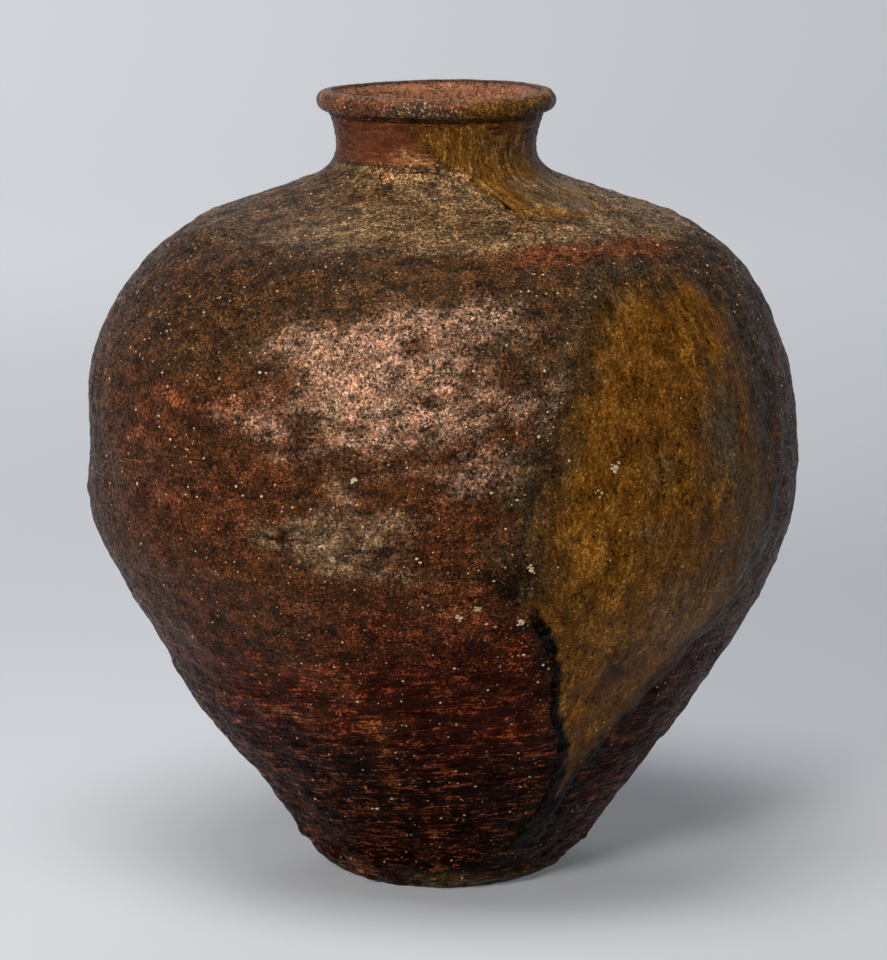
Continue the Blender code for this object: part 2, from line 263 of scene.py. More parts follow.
# Each zone's pits, body, flecks and shine, as screen colours. A later zone lies over the ones before it
CLAY_TONES_START = ((22, 11, 5), (60, 34, 16), (108, 66, 34), (165, 140, 122))
CLAY_TONES = (
    ("ash", (22, 15, 8), (54, 38, 22), (106, 72, 40), (170, 150, 130)),
    ("grey", (18, 14, 8), (52, 42, 27), (100, 76, 48), (150, 135, 115)),
    ("red", (26, 12, 6), (64, 34, 18), (120, 72, 44), (120, 80, 56)),
    ("dark", (5, 1, 0), (41, 10, 3), (132, 60, 27), (90, 38, 16)),
    ("black", (2, 0, 0), (21, 5, 1), (108, 52, 25), (54, 24, 13)),
    ("orange", (34, 13, 5), (94, 50, 28), (176, 108, 70), (150, 100, 70)),
    ("shoulder", (46, 34, 22), (92, 70, 49), (168, 134, 88), (215, 190, 160)),
    ("band", (32, 12, 5), (90, 48, 25), (142, 84, 46), (140, 95, 70)),
    ("olive", (44, 35, 24), (98, 78, 58), (162, 134, 102), (190, 175, 155)),
    # The painted sheen: the upper belly painted lighter and pinker where the key lamp's highlight falls
    ("painted_sheen", (64, 48, 38), (140, 109, 87), (226, 184, 156), (255, 235, 220)),
    ("foot", (26, 16, 7), (76, 56, 32), (128, 100, 62), (90, 72, 54)),
    ("neck", (70, 36, 20), (102, 56, 33), (136, 80, 52), (170, 125, 100)),
    ("rim", (40, 22, 15), (94, 59, 41), (160, 110, 80), (215, 180, 150)),
    ("glassy", (14, 12, 10), (62, 52, 44), (184, 152, 108), (255, 240, 215)),
    ("soot", (3, 2, 1), (24, 15, 8), (80, 52, 28), (110, 90, 70)),
    ("amber", (28, 15, 3), (92, 58, 18), (158, 111, 48), (230, 190, 130)),
    ("mouth", (78, 46, 32), (138, 93, 70), (176, 128, 104), (120, 90, 70)),
    ("ink", (3, 2, 2), (12, 9, 8), (44, 38, 34), (200, 200, 205)),
    ("lit", (60, 30, 12), (150, 96, 56), (236, 200, 150), (255, 235, 205)),
    ("shade", (16, 9, 4), (48, 29, 15), (108, 75, 45), (84, 60, 40)),
)
GLASS_AMBER = ((40, 23, 5), (96, 60, 15), (150, 104, 40), (225, 180, 115))
GLASS_BROWN = ((30, 16, 4), (88, 53, 14), (126, 84, 36), (215, 180, 130))
GLASS_TONES = (
    ("soot", (3, 2, 1), (30, 18, 7), (86, 56, 24), (140, 115, 80)),
    ("grizzled", (26, 19, 11), (84, 68, 46), (122, 102, 74), (215, 200, 175)),
    ("fading", (18, 13, 7), (52, 38, 22), (104, 76, 44), (170, 150, 120)),
    ("slate", (8, 7, 7), (30, 27, 25), (58, 52, 46), (160, 165, 175)),
    ("thick", (54, 33, 10), (98, 63, 23), (148, 106, 48), (245, 205, 150)),
    ("ashen", (50, 38, 24), (92, 71, 49), (150, 122, 84), (190, 170, 140)),
    # Clouded glass, and painted light: pale highlights on the tongue and a lighter right side of the neck
    ("milky", (96, 66, 34), (160, 120, 70), (214, 182, 128), (255, 235, 205)),
    ("run", (0, 0, 0), (1, 1, 1), (4, 4, 5), (20, 24, 30)),
)

# The specular level that the tints of the shine were chosen at, and how much stronger the glass's are
SHINE = 0.26
GLASS_GAIN = 1.4

# The sand in the clay
GRAIN = 0.001

# The clay's relief, as layers of noise: height, size across, seed
LUMPS = table("mmn", (1.5, 70, 1), (1, 32, 2), (0.8, 16, 9))
GRIT = table("mmn", (0.45, 9, 3), (0.36, 5.2, 4))
TORN_EDGE = table("mmn", (3, 30, 40), (2.1, 12, 41))
HEEL_FLAPS = table("mmn", (2, 8, 43), (1.4, 40, 44))
UNEVEN_RIM = table("mmn", (0.5, 20, 50), (0.25, 6, 51), (0.12, 2.5, 52))
CREASE_WIDTH = 0.0018
CRACK_DEPTH = 0.0018

# The neck: the ridge at the shoulder's upper edge, the foot of its pink clay, and its turned ribs
SHOULDER_EDGE = 0.425
NECK_FOOT = 0.429
RIB_HEIGHT = 0.00014
RIB_PITCH = 0.0041

# The glass: how deep it dips into the clay, how thick it is, its bead where it ran, and its hidden face
GLASS_DIP = 0.0006
GLASS_THICK = 0.001
GLASS_BEAD = 0.0006
GLASS_UNDER = 0.003

# How finely the surface is cut
COLUMNS = 840
ROW = 0.0015
ROW_NECK = 0.0009
FINE_ABOVE = 0.415
ROW_INSIDE = 0.01

# How much higher the slanted joints end inside the jar, and the throwing ribs there
SCARF = 0.008
INNER_RIB = 0.0006

# The pale floor and the low wall round it, and how much they glow where they are seen
FLOOR_RADIUS = 4.2
FLOOR_CURVE = 0.9
WALL_HEIGHT = 1.5
GLOW_NEAR = 0.11
GLOW_FAR = 0.58

# The lamps: name, place, size, watts, colour, spread in degrees, the place it aims at
LAMPS = (
    ("key", (-1.05, -2.8, 1.35), (0.8, 0.9), 10, (1.0, 0.95, 0.88), 60, (-0.1, 0.2, 0.25)),
    ("top", (-0.4, -0.8, 2.7), (1.8, 1.4), 16, (1.0, 0.97, 0.93), 90, (-0.1, 0.3, 0.0)),
    ("back", (-0.5, 2.4, 2.4), (1.6, 1.2), 4.5, (0.96, 0.98, 1.0), 90, (0.0, 0.0, 0.25)),
)

# The camera stands where the photographer's did
CAMERA_AT = (0.0015, -3.0, 0.743)
CAMERA_DOWN = 9.6
CAMERA_LENS = 190.8
SENSOR = 36.0


def along_curve(points, at):
    """Values on a smooth curve through (place, value) points, which never overshoots them."""
    places, values = np.array(points, dtype=float).T
    spans = np.diff(places)
    slopes = np.diff(values) / spans
    share = spans[1:] / (spans[1:] + spans[:-1])
    middle = slopes[:-1] * share + slopes[1:] * (1 - share)
    steep = np.concatenate((slopes[:1], np.where(slopes[:-1] * slopes[1:] <= 0, 0.0, middle), slopes[-1:]))
    at = np.asarray(at, dtype=float)
    i = np.clip(np.searchsorted(places, at, side="right") - 1, 0, len(spans) - 1)
    t = np.clip((at - places[i]) / spans[i], 0.0, 1.0)
    low, high = values[i], values[i + 1]
    leave, arrive = steep[i] * spans[i], steep[i + 1] * spans[i]
    bend = 3 * (high - low) - 2 * leave - arrive
    return low + t * leave + t * t * bend + t ** 3 * (2 * (low - high) + leave + arrive)


def outer_radius(height):
    return along_curve(OUTLINE, height)


def outward(height):
    """The turned wall's outward normal at a height, as (away from the axis, up)."""
    step = 0.0005
    slope = (outer_radius(height + step) - outer_radius(height - step)) / (2 * step)
    inside = (height > OUTLINE[0][0] + step) & (height < OUTLINE[-1][0] - step)
    slope = np.where(inside, slope, 0.0)
    length = np.sqrt(1 + slope * slope)
    return 1 / length, -slope / length


def bump(distance, reach):
    return np.exp(-((distance / reach) ** 2))


def turned_between(bearing, other):
    """The angle from one bearing to another, in radians, the short way round."""
    return (bearing - other + pi) % (2 * pi) - pi


def around(bearing, middle, spread):
    """A bump round the jar, from 0 to 1, with its middle and its spread in degrees."""
    return bump(turned_between(bearing, radians(middle)), radians(spread))


def hand_shape(bearing, radius, height):
    """Points of the turned form, moved to where the hands left them, as an array of (x, y, z)."""
    swing = WANDER_ONCE * np.sin(bearing + WANDER_PHASE) + WANDER_TWICE * np.sin(2 * bearing + WANDER_PHASE)
    climb = swing * along_curve(WANDER, height)
    radius = radius + outer_radius(height + climb) - outer_radius(height)
    height = height + climb
    push = np.zeros(np.broadcast(bearing, radius, height).shape)
    for place, level, depth, across, upright in DENTS:
        aside = turned_between(bearing, radians(place)) * radius
        push += depth * bump(aside, across) * bump(height - level, upright)
    for place, depth, across in HEEL_FLATS:
        aside = turned_between(bearing, radians(place)) * radius
        low = bump(height, HEEL_FLAT_HEIGHT) * np.minimum(1.0, radius / FOOT_RADIUS)
        push += depth * bump(aside, across) * low
    out, up = outward(height)
    radius = radius + push * out
    height = height + push * up
    roll = np.clip((height - ROLL_HEIGHT) / ROLL_HALF_HEIGHT, 0.0, None)
    height = height - RIM_WAVE * (1 + np.sin(2 * bearing)) * roll
    x = radius * np.sin(bearing) + along_curve(LEAN, height)
    return np.stack((x, -radius * np.cos(bearing), height), axis=-1)


def on_wall(bearing, level, raised):
    """Points that stand out from the turned wall by raised, where the hands left them."""
    out, up = outward(level)
    return hand_shape(bearing, outer_radius(level) + raised * out, level + raised * up)


def scatter(cell, seed):
    """Three fixed pseudo-random numbers from -1 to 1 for each cell of a grid."""
    mixed = cell[..., 0] * 73856093 ^ cell[..., 1] * 19349663 ^ cell[..., 2] * 83492791 ^ seed * 668265263
    mixed = (mixed ^ (mixed >> 13)) * 1274126177 & 0xFFFFFFFF
    mixed = mixed ^ (mixed >> 16)
    return np.stack([(mixed >> shift & 1023) / 511.5 - 1 for shift in (0, 9, 18)], axis=-1)


def noise(points, size, seed=0):
    """A smooth field from about -1 to 1, whose lumps are about size across."""
    places = points / size + 1000.0
    cell = np.floor(places).astype(np.int64)
    inside = places - cell
    fade = inside ** 3 * (inside * (inside * 6 - 15) + 10)
    total = 0.0
    for corner in np.ndindex(2, 2, 2):
        corner = np.array(corner)
        weight = np.prod(np.where(corner == 1, fade, 1 - fade), axis=-1)
        total = total + weight * np.sum(scatter(cell + corner, seed) * (inside - corner), axis=-1)
    return 1.5 * total


def layered(points, layers):
    return sum(height * noise(points, size, seed) for height, size, seed in layers)


def octaves(points, size, count, seed=0):
    """Noise at several sizes, each half as large and half as strong as the one before."""
    return sum(noise(points, size / 2 ** i, seed + i) / 2 ** i for i in range(count))


def ramp(value, low, high):
    """A soft step that is 0 below low and 1 above high."""
    t = np.clip((value - low) / (high - low), 0.0, 1.0)
    return t * t * (3 - 2 * t)


def spots(bearing, height, places, wander=(0.0, 0.0)):
    """Soft spots laid over each other, from 0 to 1, whose outlines wander by that much aside and up."""
    radius = outer_radius(height)
    aside, up = wander
    clear = 1.0
    for at, level, reach_aside, reach_up, strength in places:
        off = turned_between(bearing, radians(at)) * radius + aside
        clear = clear * (1 - strength * bump(off, reach_aside) * bump(height + up - level, reach_up))
    return 1 - clear


def torn(points):
    """The ragged edge of the slab and of the wall just above it."""
    folded = points * np.array((1.0, 1.0, 2.6))
    return layered(folded, TORN_EDGE) + 0.0008 * noise(points, 0.005, 42)


def cracked(bearing, level, points):
    """Short open cracks where the wall is pitted, from 0 to 1."""
    network = np.abs(noise(points * np.array((0.6, 0.6, 1.3)), 0.024, 12) + 0.1 * noise(points, 0.006, 13))
    here = spots(bearing, level, PITTED) * ramp(noise(points, 0.02, 14), -0.1, 0.25)
    return (1 - ramp(network, 0.02, 0.11)) * here


def black_line(line, height):
    """The bearing of a black line's middle at a height, and half its width there."""
    middle = np.radians(along_curve([row[:2] for row in line], height))
    return middle, along_curve([row[::2] for row in line], height)


def beside_run(bearing, height):
    """How near the clay is to the left black run, from 0 to 1."""
    middle, half = black_line(RUN_LEFT, height)
    off = turned_between(bearing, middle) * outer_radius(height)
    top = RUN_LEFT[-1][0]
    return bump(off, 1.5 * half) * (1 - ramp(height, top, top + 0.012))


def relief(bearing, level, points):
    """How far the clay stands out from the turned form."""
    low = 1 - ramp(level, 0.12, 0.215)
    rough = spots(bearing, level, PAINTED_SHEEN + PITTED)
    sheet = inside_glaze(bearing, level, SHEET)
    collar = inside_glaze(bearing, level, COLLAR)
    soft = 1 - 0.6 * ramp(np.maximum(sheet, collar), 0.0, 0.012)
    grit = layered(points, GRIT) * (1 + 1.5 * rough)
    fine = 0.00022 * noise(points, 0.0034, 5) * (1 + 1.2 * rough)
    drawn = turned(bearing * 0.35, 0.2, level - 0.006 * np.sin(bearing))
    lines = noise(drawn, 0.0075, 6) + 0.8 * noise(drawn, 0.0042, 7)
    lines = lines * (0.00005 + 0.0005 * low)
    quiet = 1 - 0.8 * ramp(level, 0.419, 0.43)
    ribs = RIB_HEIGHT * np.sin(level * 2 * pi / RIB_PITCH) + 0.0002 * noise(drawn, 0.003, 11)
    ribs = ribs * ramp(level, NECK_FOOT, NECK_FOOT + 0.003)
    total = (layered(points, LUMPS) + (grit + fine) * soft) * quiet + lines * soft + ribs
    radius = outer_radius(level)
    bent = 0.004 * noise(points, 0.022, 17)
    for at, middle, long, wide, slant, height in FOLDS:
        aside, above = turned_between(bearing, radians(at)) * radius, level - middle
        along = aside * cos(radians(slant)) + above * sin(radians(slant))
        across = above * cos(radians(slant)) - aside * sin(radians(slant)) + bent
        total = total + height * bump(along, long) * bump(across, wide)
    total = total - CRACK_DEPTH * cracked(bearing, level, points)
    ragged = np.clip(0.45 + 1.1 * noise(points, 0.045, 8), 0, 2)
    wander = 0.004 * noise(points, 0.06, 16) + 0.0009 * noise(points, 0.012, 15)
    for *_, joint, depth in STAGES:
        total = total - depth * ragged * bump(level - joint + wander, CREASE_WIDTH)
    for joint, lip, at, width in LIPS:
        above = level - joint + wander
        lip = lip * ramp(above, -0.0012, 0.0012) * (1 - ramp(above, 0.002, 0.018))
        total = total + lip * around(bearing, at, width) * ragged
    edge = level - SHOULDER_EDGE + 0.0008 * noise(points, 0.02, 18)
    ridge = bump(edge, 0.0011) - 0.35 * bump(edge - 0.003, 0.0014)
    total = total + 0.0013 * ridge * around(bearing, -12, 34)
    total = total - 0.002 * ragged * bump(level - SLAB - 0.0025 + 0.0022 * noise(points, 0.018, 19), 0.002)
    return total + torn(points) * (1 - ramp(level, SLAB + 0.002, SLAB + 0.018))


def inside_glaze(bearing, level, edges, wobble=0.0):
    """How far inside a glaze's edges each place lies, in metres: below 0 outside them."""
    left, right = edges
    turn = turned_between(bearing, 0)
    radius = outer_radius(level)
    from_left = (turn - np.radians(along_curve(left, level))) * radius
    from_right = (np.radians(along_curve(right, level)) - turn) * radius
    from_ends = np.minimum(level - left[0][0], left[-1][0] - level) * 1.5
    return np.minimum(np.minimum(from_left, from_right), from_ends) + wobble


def colour_zones(bearing, level, height, points):
    """How strongly each colour of the fire shows, from 0 to 1, as {name: array}."""
    drift = octaves(points, 0.06, 4, 20)
    patchy = octaves(points, 0.02, 4, 30)
    wander = (0.012 * octaves(points, 0.045, 4, 80), 0.007 * octaves(points, 0.03, 4, 85))
    slanted = points - np.array((0.0, 0.0, 0.8)) * np.clip(points[..., :1], 0.0, 0.06)
    brushed = octaves(slanted * np.array((0.28, 0.28, 1.0)), 0.012, 4, 25)
    back = ramp(-np.cos(bearing), -0.15, 0.35)
    uneven = 0.01 * drift + 0.004 * brushed

    def fire(places):
        return spots(bearing, height, places, wander)

    left = ramp(-np.sin(bearing) + 0.25 * drift, 0.0, 0.7)
    sheet = inside_glaze(bearing, level, SHEET, 0.005 * patchy)
    collar = inside_glaze(bearing, np.minimum(level, 0.453), COLLAR, 0.002 * patchy)
    rim = 0.03 - 0.04 * np.abs(turned_between(bearing, radians(62))) + 0.006 * patchy
    belly = ramp(height + uneven, 0.205, 0.225)
    beside_sheet = bump(sheet + 0.006, 0.013) * (bearing < radians(45)) * belly
    dots = ramp(patchy, -0.2, 0.5)
    # Painted glints along the ridge at the shoulder's upper edge
    edge = level - SHOULDER_EDGE - 0.0002 + 0.0006 * brushed
    lines = bump(edge, 0.0009) + bump(edge + 0.0016, 0.0006) * ramp(patchy, -0.1, 0.4)
    neck_foot = level - NECK_FOOT + 0.0008 * drift
    zones = {
        "ash": ramp(height + uneven, 0.3, 0.372),
        # Grey, with a painted shade in a band just above the crease at the neck's foot
        "grey": np.maximum(fire(GREY), beside_sheet) * (1 + 0.9 * patchy)
        + 0.7 * back * ramp(drift, 0.0, 0.6) * belly + 0.8 * bump(neck_foot, 0.0014),
        "red": (fire(RED) + 0.8 * back * ramp(-drift, 0.0, 0.5)) * (1 + 0.8 * brushed),
        "orange": (fire(ORANGE) + 0.5 * back * ramp(brushed, 0.3, 0.9)) * (1 + brushed),
        "shoulder": ramp(height + 0.5 * uneven, 0.384, 0.394) * (1 - ramp(neck_foot, -0.002, 0.001))
        * (1 - 0.6 * ramp(brushed + 0.4 * patchy, 0.0, 0.7)),
        "lined": 1 - ramp(height + uneven, 0.07, 0.19)
        + 0.9 * ramp(neck_foot, 0.0, 0.002) * (level < 0.457),
        "band": spots(bearing, height + 0.0016 * patchy, BAND) * (1 + 0.9 * brushed),
        # Darker towards the bottom, but painted lighter on the left side, where the key lamp falls
        "dark": (1 - ramp(height + 1.6 * uneven, 0.13, 0.222))
        * (1 - 0.35 * left * ramp(height, 0.09, 0.16)),
        "black": (1 - ramp(height + 1.2 * uneven, 0.075, 0.128))
        * ramp(np.cos(bearing) + 0.3 * drift, 0.2, 0.9),
        "olive": fire(PITTED) * (1 + 0.7 * patchy),
        # Painted sheen, where the key lamp's highlight falls on the upper belly
        "painted_sheen": fire(PAINTED_SHEEN) * (1 + 0.8 * patchy + 1.0 * brushed),
        "foot": (1 - ramp(level + 0.006 * patchy, 0.008, 0.016))
        * np.maximum(around(bearing, 24, 38), 0.6 * back),
        "neck": ramp(neck_foot, 0.0005, 0.0025),
        "rim": ramp(level, 0.4572, 0.4578),
        "amber": ramp(np.maximum(sheet - 0.012, np.where(level < 0.4575, collar, rim)), -0.01, 0.006),
        "mouth": 0.0,
        "ink": spots(bearing, level, INK) * ramp(patchy, -0.5, 0.1),
        "lit": 1.6 * lines * around(bearing, -12, 26) * (0.4 + dots)
        + spots(bearing, level, GLINTS) * ramp(patchy, -0.5, 0.2),
        "glassy": spots(bearing, level, RIM_GLASS) * (1 + patchy),
        "soot": fire(SOOT) * ramp(patchy + drift, -0.6, 0.1)
        + cracked(bearing, level, points) + 0.8 * beside_run(bearing, height),
        "shade": (level < 0.4255) * np.maximum(
            0.7 * around(bearing, -62, 36) * ramp(height + uneven, 0.3, 0.36),
            0.65 * around(bearing, -84, 24) * ramp(height + uneven, 0.1, 0.2),
        ),
    }
    return {name: np.clip(values + 0 * height, 0, 1) for name, values in zones.items()}


def walk(levels):
    """The way walked up the wall from the first level to each of them."""
    steps = np.hypot(np.diff(levels), np.diff(outer_radius(levels)))
    return np.concatenate(((0.0,), np.cumsum(steps)))


def wall_rows(start, end, step):
    """Levels from start to end, evenly spread along the wall and about a step apart."""
    levels = np.linspace(start, end, 400)
    walked = walk(levels)
    count = max(3, int(np.ceil(walked[-1] / step)))
    return np.interp(np.linspace(0, walked[-1], count + 1), walked, levels)


def grid_mesh(name, points, wrap_rows=True, wrap_columns=True):
    """A mesh of quads on a grid of points, in rows up the wall and columns round the jar."""
    rows, columns = points.shape[:2]
    index = np.arange(rows * columns).reshape(rows, columns)
    if wrap_rows:
        index = np.concatenate((index, index[:1]), axis=0)
    if wrap_columns:
        index = np.concatenate((index, index[:, :1]), axis=1)
    quads = np.stack((index[:-1, :-1], index[:-1, 1:], index[1:, 1:], index[1:, :-1]), axis=-1)
    quads = quads.reshape(-1, 4)
    mesh = bpy.data.meshes.new(name)
    mesh.vertices.add(rows * columns)
    mesh.vertices.foreach_set("co", points.astype(np.float32).ravel())
    mesh.loops.add(quads.size)
    mesh.loops.foreach_set("vertex_index", quads.astype(np.int32).ravel())
    mesh.polygons.add(len(quads))
    mesh.polygons.foreach_set("loop_start", np.arange(0, quads.size, 4, dtype=np.int32))
    mesh.update(calc_edges=True)
    mesh.shade_smooth()
    return mesh


def add_object(name, data):
    added = bpy.data.objects.new(name, data)
    bpy.context.scene.collection.objects.link(added)
    return added


def add_piece(name, mesh, node, material):
    """Shows a mesh in place of a node of the model, on the model's one body."""
    piece = add_object(name, mesh)
    mesh.materials.append(material)
    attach(piece, "root")
    if node:
        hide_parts(node)
    return piece


def store(mesh, fields, places):
    """Keeps fields of numbers, and places on the unrolled jar, on a mesh's points."""
    layers = [(name, "FLOAT", "value", values) for name, values in fields.items()]
    for name, kind, part, values in (*layers, ("unrolled", "FLOAT_VECTOR", "vector", places)):
        layer = mesh.attributes.new(name, kind, "POINT")
        layer.data.foreach_set(part, np.ascontiguousarray(values, dtype=np.float32).ravel())


def unrolled(bearing, level):
    """Places on a plain cylinder: round it by bearing, and up it by the way walked up the wall."""
    return turned(bearing, 0.16, np.interp(level, WALK_LEVELS, WALK))


def turned(bearing, radius, height):
    """Points of the turned form itself, on which the noise is sampled."""
    bearing, radius, height = np.broadcast_arrays(bearing, radius, height)
    return np.stack((radius * np.sin(bearing), -radius * np.cos(bearing), height), axis=-1)


BEARINGS = np.arange(COLUMNS)[None, :] * 2 * pi / COLUMNS
WALK_LEVELS = np.linspace(0.0, HEIGHT, 900)
WALK = walk(WALK_LEVELS)


def surface_normals(points):
    """The normals of a grid of points, taken from the points beside, above and below each one."""
    across = np.roll(points, -1, axis=1) - np.roll(points, 1, axis=1)
    normal = np.cross(across, np.gradient(points, axis=0))
    return normal / np.linalg.norm(normal, axis=-1, keepdims=True)


def clay_ring(name, outer_levels, inner_levels, material):
    """One stage of the wall: a fine outer face and a plainer inner one, closed at the joints."""
    step = outer_levels[1] - outer_levels[0]
    outer = np.concatenate((outer_levels[:1] - step, outer_levels, outer_levels[-1:] + step))[:, None]
    flat = turned(BEARINGS, outer_radius(outer), outer)
    outer_points = on_wall(BEARINGS, outer, relief(BEARINGS, outer, flat))
    inner = inner_levels[::-1][:, None]
    depth = along_curve(THICKNESS, inner)
    out, up = outward(inner)
    ribs = INNER_RIB * np.sin(inner / 0.0021) + 0 * BEARINGS
    inner_points = hand_shape(BEARINGS, outer_radius(inner) - (depth + ribs) * out, inner - depth * up)
    normals = np.concatenate((surface_normals(outer_points)[1:-1], surface_normals(inner_points)), axis=0)
    points = np.concatenate((outer_points[1:-1], inner_points), axis=0)
    mesh = grid_mesh(name, points)
    mesh.normals_split_custom_set_from_vertices(normals.reshape(-1, 3))
    levels = np.concatenate((outer[1:-1], inner), axis=0) + 0 * BEARINGS
    zones = colour_zones(BEARINGS, levels, points[..., 2], points)
    zones["mouth"][len(outer) - 2:] = ramp(inner, 0.3, 0.42)
    zones["lined"] = zones["lined"] * (1 - 0.7 * zones["mouth"])
    store(mesh, zones, unrolled(BEARINGS, levels))
    return add_piece(name + "_clay", mesh, name, material)


def make_walls(clays):
    start = SLAB
    for name, slot, clay, joint, _ in STAGES:
        outer_levels = wall_rows(start, joint, ROW_NECK if start > FINE_ABOVE else ROW)
        inner_levels = wall_rows(start + SCARF, joint + SCARF, ROW_INSIDE)
        clay_ring(name, outer_levels, inner_levels, clays[clay])
        start = joint


def make_base(material):
    """The slab, with its torn and trodden edge."""
    share = np.linspace(0, 1, 26)[1:]
    edge = FOOT_RADIUS + (HEEL_RADIUS - FOOT_RADIUS) * share
    radius = np.concatenate((np.linspace(0.002, FOOT_RADIUS, 12), edge, (0.05, 0.002)))
    height = np.concatenate((np.zeros(12), SLAB * share ** HEEL_CURVE, (SLAB, SLAB)))
    radius = radius[:, None]
    height = height[:, None] + 0 * BEARINGS
    flat = turned(BEARINGS, HEEL_RADIUS, height)
    ragged = relief(BEARINGS, height, flat) + layered(flat, HEEL_FLAPS) * (1 - ramp(height, 0.008, 0.015))
    ragged = ragged * ramp(height, -0.005, 0.005) * (radius >= FOOT_RADIUS)
    points = hand_shape(BEARINGS, radius + ragged, height)
    mesh = grid_mesh("base_disc", points)
    store(mesh, colour_zones(BEARINGS, height, points[..., 2], points), unrolled(BEARINGS, height))
    return add_piece("base_disc_clay", mesh, "base_disc", material)


def make_rim(material):
    """The roll of the rim, which folds over from a crest on the mouth's edge."""
    under = HEIGHT - 2 * LIP_HALF_HEIGHT
    turn = np.linspace(radians(-80), radians(85), 40)
    inner_radius, inner_height = zip(*MOUTH_EDGE)
    outside = outer_radius((NECK_TOP, under))
    radius = np.concatenate((outside, ROLL_RADIUS + ROLL_HALF_WIDTH * np.cos(turn), inner_radius))[:, None]
    height = HEIGHT - LIP_HALF_HEIGHT * (1 - np.sin(turn))
    height = np.concatenate(((NECK_TOP, under), height, inner_height))[:, None]
    flat = turned(BEARINGS, radius, height)
    uneven = layered(flat, UNEVEN_RIM)
    points = hand_shape(BEARINGS, radius + uneven, height + 0.6 * uneven)
    mesh = grid_mesh("rim_roll", points)
    zones = colour_zones(BEARINGS, height + 0 * BEARINGS, points[..., 2], points)
    inside = height > ROLL_HEIGHT - ROLL_HALF_HEIGHT
    zones["mouth"] = zones["mouth"] + (1 - ramp(radius, 0.0598, 0.0612)) * inside
    zones["ink"] = np.maximum(zones["ink"], 0.8 * bump(radius - 0.0618, 0.001) * inside)
    store(mesh, zones, unrolled(BEARINGS, height))
    return add_piece("rim_roll_clay", mesh, "rim_roll", material)


def there_and_back(rows):
    """A grid's rows, and then the same rows from the last to the first."""
    return np.concatenate((rows, rows[::-1]), axis=0)


def make_glaze(name, node, edges, runs, black_lines, material):
    """A skin of glass that lies on the clay inside its edges, and dips into the clay outside them.

    It thins away softly at its edges, but where runs(bearing, level) is 1 its edge is thick and round.
    """
    left, right = edges
    first = int(np.floor((min(b for _, b in left) - 9) / 360 * COLUMNS))
    last = int(np.ceil((max(b for _, b in right) + 9) / 360 * COLUMNS))
    bearing = np.arange(first, last + 1)[None, :] * 2 * pi / COLUMNS
    step = ROW_NECK if left[0][0] > 0.39 else ROW
    levels = wall_rows(left[0][0] - 0.006, min(left[-1][0] + 0.006, NECK_TOP), step)[:, None]
    flat = turned(bearing, outer_radius(levels), levels)
    ran = runs(bearing, levels)
    inside = inside_glaze(bearing, levels, edges, 0.003 * octaves(flat, 0.02, 3, 60) * (1 - 0.4 * ran))
    speckled = inside + (1 - ran) * (0.008 * octaves(flat, 0.012, 4, 62) + 0.01 * noise(flat, 0.04, 66))
    speckled = speckled + 0.028 * noise(flat, 0.06, 72) * ramp(bearing, radians(44), radians(56)) * (1 - ran)
    cover = ramp(speckled, -0.0015 - 0.006 * (1 - ran), 0.003 + 0.009 * (1 - ran))
    bead = ran * bump(inside - 0.0035, 0.0035) * np.clip(0.7 + 0.7 * noise(flat, 0.03, 61), 0, 1.6)
    clay = relief(bearing, levels, flat)
    outer_points = on_wall(bearing, levels, clay - GLASS_DIP + GLASS_THICK * cover + GLASS_BEAD * bead)
    inner_points = on_wall(bearing, levels, clay - GLASS_UNDER)
    mesh = grid_mesh(name, np.concatenate((outer_points, inner_points[::-1]), axis=0), wrap_columns=False)
    from_right = (np.radians(along_curve(right, levels)) - bearing) * outer_radius(levels)
    low = 1 - ramp(levels, 0.2, 0.3)
    height = outer_points[..., 2]
    black = 0.0
    for line in black_lines:
        middle, half = black_line(line, height)
        half = half * (1 + 0.5 * noise(flat, 0.014, 64))
        off = np.abs(bearing - middle) * outer_radius(levels)
        off = off + np.minimum(0.6 * half, 0.0026) * octaves(flat, 0.007, 3, 65)
        within = 1 - ramp(height, line[-1][0] - 0.004, line[-1][0] + 0.008)
        within = within * (1 - ramp(off, 0.4 * half, 1.4 * half + 0.0018))
        black = np.maximum(black, within * ramp(half, 0.0, 0.0006))
    shoulder = ramp(levels, 0.39, 0.4)
    fields = {
        "run": black,
        "fading": 0.9 * (1 - ramp(speckled, 0.002, 0.04)) * (1 - ran),
        "slate": 0.6 * low * bump(from_right - 0.004, 0.012 + 0.01 * octaves(flat, 0.03, 2, 63)),
        "soot": spots(bearing, height, SOOT) * ramp(octaves(flat, 0.012, 3, 71), -0.7, 0.1),
        "ashen": shoulder * (1 - ramp(levels, 0.416, 0.428))
        * ramp(bearing + 0.15 * octaves(flat, 0.012, 3, 73), radians(27), radians(44)),
        "grizzled": spots(bearing, levels, GRIZZLED) * (1 + 0.8 * octaves(flat, 0.025, 3, 69)),
        "thick": shoulder * ramp(inside, 0.0, 0.003),
        # Clouded glass along the tongue's edge, and spots of it that are painted highlights and lightening
        "milky": shoulder * ran * bump(inside - 0.0035, 0.0016) * ramp(noise(flat, 0.01, 67), -0.2, 0.4)
        + 0.7 * spots(bearing, levels, MILKY_AND_PAINTED_LIGHT) * ramp(noise(flat, 0.004, 68), -0.3, 0.3),
    }
    fields = {name: there_and_back(values + 0 * inside) for name, values in fields.items()}
    store(mesh, fields, there_and_back(unrolled(bearing, levels)))
    bm = bmesh.new()
    bm.from_mesh(mesh)
    bmesh.ops.holes_fill(bm, edges=[edge for edge in bm.edges if edge.is_boundary])
    bm.to_mesh(mesh)
    bm.free()
    return add_piece(name, mesh, node, material)


def sheet_runs(bearing, level):
    """The big sheet ran off the belly, down both its sides."""
    return (1 - ramp(level, 0.175, 0.21)) + 0 * bearing


def collar_runs(bearing, level):
    """The collar ran down the front of the shoulder as a tongue with a thick left edge."""
    return (1 - ramp(level, 0.4215, 0.426)) * (1 - ramp(bearing, radians(24), radians(30)))


